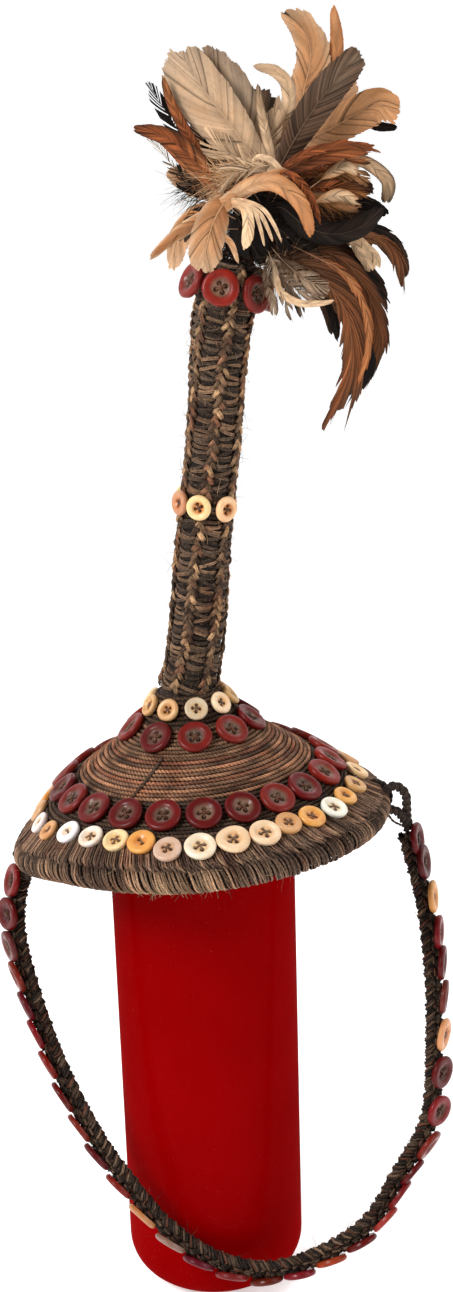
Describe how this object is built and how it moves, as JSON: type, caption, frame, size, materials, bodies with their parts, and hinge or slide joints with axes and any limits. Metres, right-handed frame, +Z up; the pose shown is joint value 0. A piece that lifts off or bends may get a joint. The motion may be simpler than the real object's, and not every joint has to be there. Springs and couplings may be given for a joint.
{
  "type": "feathered headdress on a display stand",
  "caption": "Conical coiled-fibre hat sewn with buttons, with a knotted stem, a feather plume and a chin strap, on a plain cylinder stand.",
  "frame": {"origin": "middle of the stand's flat foot, on the surface that it stands on", "axes": "+Z up along the stand, +X to the viewer's right, -Y to the front"},
  "size_m": [0.2872, 0.2388, 0.8121],
  "materials": {
    "coiled_fibre": "coarse twisted brown fibre",
    "plaited_fibre": "dark plaited fibre",
    "red_horn": "worn dark red coat button",
    "bone": "polished cream, ivory, tan and orange button",
    "feathers": "cock and hen feathers, beige, rust and black-brown",
    "red_lacquer": "glossy deep red paint"
  },
  "bodies": {
    "root": {"stand": "red_lacquer", "cap": "coiled_fibre", "brim_roll": "coiled_fibre", "brim_button_01": "red_horn", "brim_button_02": "red_horn", "brim_button_03": "red_horn", "brim_button_04": "red_horn", "brim_button_05": "red_horn", "brim_button_06": "red_horn", "brim_button_07": "red_horn", "brim_button_08": "red_horn", "brim_button_09": "red_horn", "brim_button_10": "red_horn", "brim_button_11": "red_horn", "brim_button_12": "red_horn", "brim_button_13": "red_horn", "brim_button_14": "red_horn", "brim_button_15": "red_horn", "brim_button_16": "red_horn", "brim_button_17": "red_horn", "brim_button_18": "red_horn", "brim_button_19": "red_horn", "brim_button_20": "red_horn", "brim_button_21": "red_horn", "crown_button_01": "red_horn", "crown_button_02": "red_horn", "crown_button_03": "red_horn", "crown_button_04": "red_horn", "crown_button_05": "red_horn", "crown_button_06": "red_horn", "crown_button_07": "red_horn", "crown_button_08": "red_horn", "crown_button_09": "red_horn", "bone_row_1": "bone", "bone_row_2": "bone", "bone_row_3": "bone", "bone_row_4": "bone", "stem_foot_ring": "bone", "stem": "coiled_fibre", "stem_waist_ring": "bone", "stem_button_01": "red_horn", "stem_button_02": "red_horn", "stem_button_03": "red_horn", "stem_button_04": "red_horn", "stem_button_05": "red_horn", "stem_button_06": "red_horn", "plume": "feathers", "strap_01": "plaited_fibre", "strap_02": "plaited_fibre", "strap_03": "plaited_fibre", "strap_04": "plaited_fibre", "strap_05": "plaited_fibre", "strap_06": "plaited_fibre", "strap_07": "plaited_fibre", "strap_08": "plaited_fibre", "strap_tie_left": "plaited_fibre", "strap_tie_right": "plaited_fibre"}
  },
  "joints": []
}
